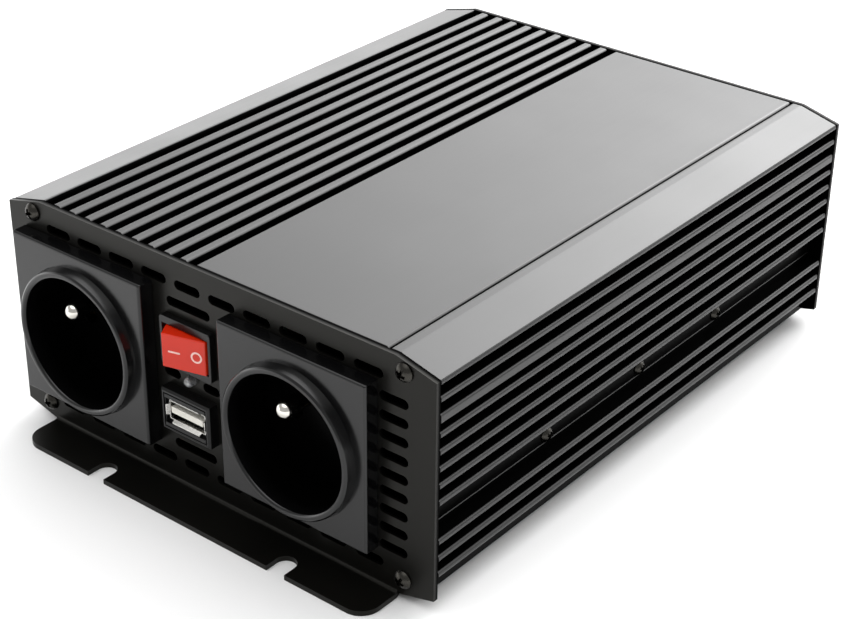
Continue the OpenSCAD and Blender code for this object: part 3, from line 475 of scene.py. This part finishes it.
def flared_tab(work, angle, reach_in, reach_out, width, y0, y1, sheet):
    """Sheet tab at the mouth of a shell; it leans outwards towards the front and narrows a little."""
    turn = Matrix.Rotation(math.radians(angle), 3, "Y")
    front_half, back_half = width / 2 - 0.25 * MM, width / 2
    profile = [(front_half, y0, reach_out - sheet), (front_half, y0, reach_out),
               (back_half, y1, reach_in), (back_half, y1, reach_in - sheet)]
    first, second = ([work.verts.new(turn @ Vector((side * half, y, out))) for half, y, out in profile]
                     for side in (-1, 1))
    cap_and_join(work, first, second)


def usb_mouth(work):
    """Folded shell with four separate flared tabs, which leave its corners open."""
    low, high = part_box("usb_shell")
    centre = (Vector(low) + Vector(high)) / 2
    front, back = low[1], high[1]
    lip_x, lip_z = (high[0] - low[0]) / 2, (high[2] - low[2]) / 2
    flare, wall, tab_l = 0.6 * MM, 0.35 * MM, 1.0 * MM
    shell_x, shell_z = lip_x - flare, lip_z - flare
    tube(work, rounded(shell_x, shell_z, 0.6 * MM), rounded(shell_x - wall, shell_z - wall, 0.3 * MM),
         front + 0.9 * MM, back)
    for angle in (0, 180):
        flared_tab(work, angle, shell_z, lip_z, 10.6 * MM, front, front + tab_l, wall)
    for angle in (90, 270):
        flared_tab(work, angle, shell_x, lip_x, 3.6 * MM, front, front + tab_l, wall)
    bmesh.ops.translate(work, verts=work.verts, vec=(centre.x, 0, centre.z))


def channel_ridges(work, r=0.2 * MM, steps=8):
    """Fine half-round ridge along the foot of the wide channel, on both sides of the case."""
    low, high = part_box("bottom_tray")
    wall_x, ridge_z = high[0] - CHANNEL_DEPTH, low[2] + RIDGE_UP
    turns = [math.pi * i / steps for i in range(steps + 1)]
    for side in (-1, 1):
        outline = [(side * (wall_x + r * math.sin(a)), ridge_z + r * math.cos(a)) for a in turns]
        prism(work, outline, low[1], high[1])


def ring_mark(work):
    tube(work, circle(1.65 * MM), circle(1.15 * MM), -0.04 * MM, 0.0)


def dash_mark(work):
    prism(work, round_ended(3.6 * MM, 0.5 * MM), -0.04 * MM, 0.0)


def terminal_mark_bar(work):
    prism(work, round_ended(6 * MM, 1.1 * MM), -0.03 * MM, 0.0)


# ---- Pieces added here ----

def make_piece(name, draw, material, place=Matrix()):
    """A drawn piece with its material, its place and the material slot that it counts as."""
    mesh = bpy.data.meshes.new(name)
    work = bmesh.new()
    draw(work)
    bmesh.ops.recalc_face_normals(work, faces=work.faces)
    work.to_mesh(mesh)
    work.free()
    piece = bpy.data.objects.new(name, mesh)
    bpy.context.scene.collection.objects.link(piece)
    piece.data.materials.append(MATERIALS[material])
    piece.matrix_world = place
    return piece


ridges = make_piece("channel_ridges", channel_ridges, "channel_ridge")
soften(ridges, 0.0)
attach(ridges, "case")

mouth = make_piece("usb_shell_folded", usb_mouth, "tin_shell")
soften(mouth, 0.06)
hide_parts("usb_shell")
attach(mouth, "case")

# Printed ring and dash on the rocker: name, shape and place along the rocker's face
ROCKER_MARKS = (
    ("rocker_mark_off", ring_mark, 3.8 * MM),
    ("rocker_mark_on", dash_mark, -2.8 * MM),
)
rock = next(joint for joint in frame["joints"] if joint["name"] == "switch_rock")
rocker_face = (Matrix.Translation(rock["pos_m"]) @ Matrix.Rotation(math.radians(ROCKER_LEAN), 4, "Z")
               @ Matrix.Translation((0, -ROCKER_FACE_OUT, 0)))
for name, draw, along in ROCKER_MARKS:
    place = rocker_face @ Matrix.Translation((along, 0, 0))
    mark = make_piece(name, draw, "rocker_print", place)
    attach(mark, "rocker")

# Plus and minus printed on the rear panel above the terminals: name, terminal and the angle of each bar
TERMINAL_MARKS = (
    ("plus_mark", "red_terminal_base", (0, 90)),
    ("minus_mark", "black_terminal_base", (0,)),
)
for name, node, angles in TERMINAL_MARKS:
    low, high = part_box(node)
    above = Matrix.Translation(((low[0] + high[0]) / 2, high[1] - TERMINAL_BASE_OUT, high[2] + 5 * MM))
    for number, angle in enumerate(angles):
        place = above @ Matrix.Rotation(math.pi, 4, "Z") @ Matrix.Rotation(math.radians(angle), 4, "Y")
        bar = make_piece(f"{name}_{number}", terminal_mark_bar, "panel_print", place)
        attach(bar, "case")


# ---- Floor, light and camera ----

def wide_floor():
    """Flat floor just under the object."""
    mesh = bpy.data.meshes.new("floor")
    work = bmesh.new()
    bmesh.ops.create_grid(work, x_segments=8, y_segments=8, size=6.0)
    work.to_mesh(mesh)
    work.free()
    made = bpy.data.objects.new("floor", mesh)
    made.location.z = -0.05 * MM
    made.data.materials.append(MATERIALS["pale_floor"])
    bpy.context.scene.collection.objects.link(made)
    return made


def studio_world():
    """White tent, as a brightness by direction; z is the sine of the height above the horizon.

    It is brightest in a band behind the object, less bright overhead and low on the left, and dim elsewhere.
    """
    world = bpy.data.worlds.new("studio")
    world.use_nodes = True
    g = Graph(world.node_tree)
    x, y, z = g.split(g.node("ShaderNodeTexCoord").outputs["Generated"])
    backward = g.math("DIVIDE", y, g.math("MAXIMUM", g.length(x, y), 0.001))
    behind = g.math("POWER", g.math("MAXIMUM", backward, 0.0), 5.0)
    wall = g.math("MULTIPLY", behind, g.ramp(z, 0.20, 0.42, 0.14, 1.0), g.ramp(z, 0.55, 0.90, 9.1, 0.0))
    roof = g.ramp(z, 0.72, 0.92, 0.0, 2.2)
    leftward = g.ramp(g.math("MULTIPLY", x, -1.0), 0.45, 0.75, 0.0, 1.0)
    low_left = g.math("MULTIPLY", leftward, g.ramp(z, 0.15, 0.40, 2.2, 0.0))
    all_round = 0.55
    background = g.tree.nodes["Background"]
    g.put(background.inputs["Color"], grey(1.0))
    g.put(background.inputs["Strength"], g.math("ADD", wall, roof, low_left, all_round))
    return world


def front_camera():
    """Camera above and to the right of the front, turned towards the object and rolled a little."""
    azimuth, elevation, roll = math.radians(38.62), math.radians(29.46), math.radians(0.65)
    back = Vector((math.sin(azimuth) * math.cos(elevation), -math.cos(azimuth) * math.cos(elevation),
                   math.sin(elevation)))
    right = Vector((math.cos(azimuth), math.sin(azimuth), 0.0))
    up = back.cross(right)
    across = math.cos(roll) * right + math.sin(roll) * up
    upward = -math.sin(roll) * right + math.cos(roll) * up
    turn = Matrix((across, upward, back)).transposed().to_4x4()
    made = bpy.data.objects.new("camera", bpy.data.cameras.new("camera"))
    made.data.sensor_width, made.data.lens = 36.0, 81.16
    made.data.clip_start, made.data.clip_end = 0.01, 50.0
    made.matrix_world = Matrix.Translation((0.3084, -0.40165, 0.3008)) @ turn
    bpy.context.scene.collection.objects.link(made)
    return made


floor = wide_floor()
bpy.context.scene.world = studio_world()
bpy.context.scene.camera = front_camera()
bpy.context.scene.view_settings.view_transform = "Standard"
